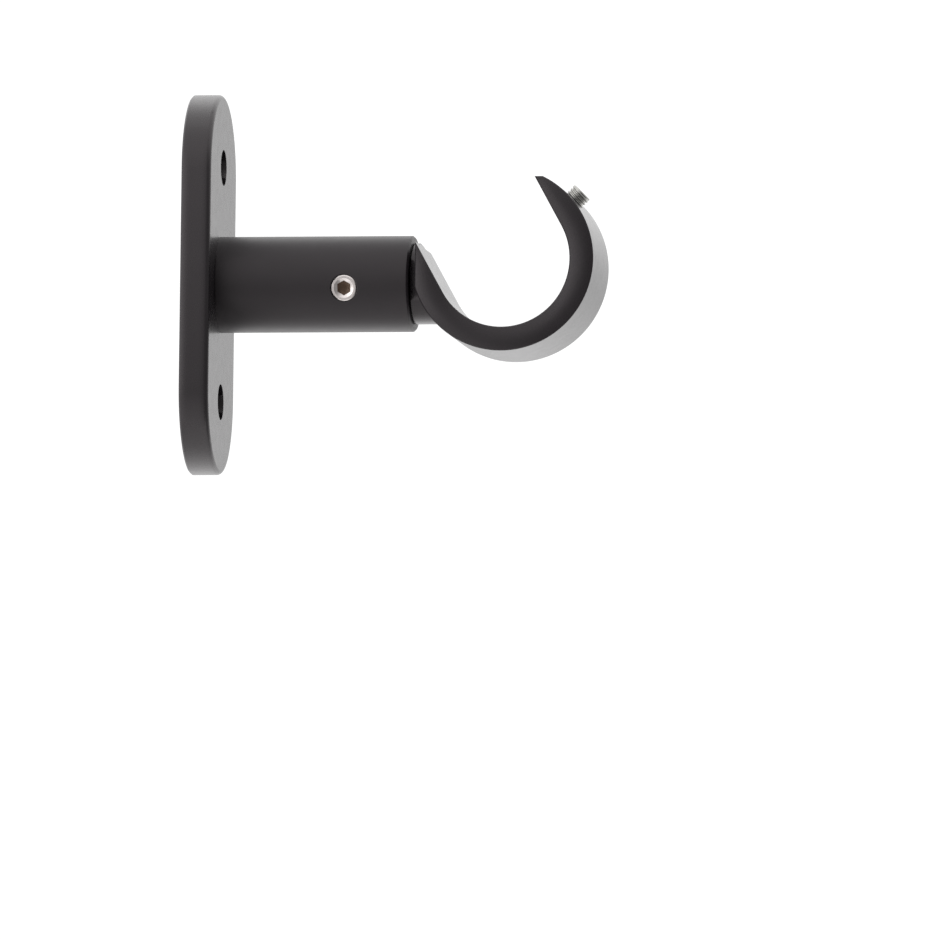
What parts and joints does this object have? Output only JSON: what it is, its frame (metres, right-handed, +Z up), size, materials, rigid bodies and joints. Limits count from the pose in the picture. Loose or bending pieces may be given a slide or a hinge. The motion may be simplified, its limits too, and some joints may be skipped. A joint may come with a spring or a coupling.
{
  "type": "curtain pole bracket",
  "caption": "Wall bracket for a curtain pole: oval plate, round barrel and a sliding arm ending in a tilted open cup, with set screws that lock the arm and clamp the pole.",
  "frame": {"origin": "centre of the wall plate's back face, midway between the wall screw holes", "axes": "+X out of the wall along the barrel, +Y along the pole, +Z up"},
  "size_m": [0.0945, 0.037, 0.0874],
  "materials": {
    "black_coat": "satin",
    "plated_steel": "satin"
  },
  "bodies": {
    "base": {"wall_plate": "black_coat", "barrel": "black_coat", "barrel_fixing_screw": "plated_steel"},
    "arm": {"hook_arm": "black_coat"},
    "barrel_screw": {"barrel_set_screw": "plated_steel"},
    "pole_screw": {"pole_set_screw": "plated_steel"}
  },
  "joints": [
    {"name": "arm_slide", "type": "slide", "parent": "base", "child": "arm", "axis": [1, 0, 0], "range_m": [0, 0.014]},
    {"name": "barrel_screw_travel", "type": "slide", "parent": "base", "child": "barrel_screw", "axis": [0, -0.9816, -0.1908], "range_m": [0, 0.003]},
    {"name": "pole_screw_travel", "type": "slide", "parent": "arm", "child": "pole_screw", "axis": [-0.7071, 0, -0.7071], "range_m": [-0.0015, 0.005]}
  ]
}
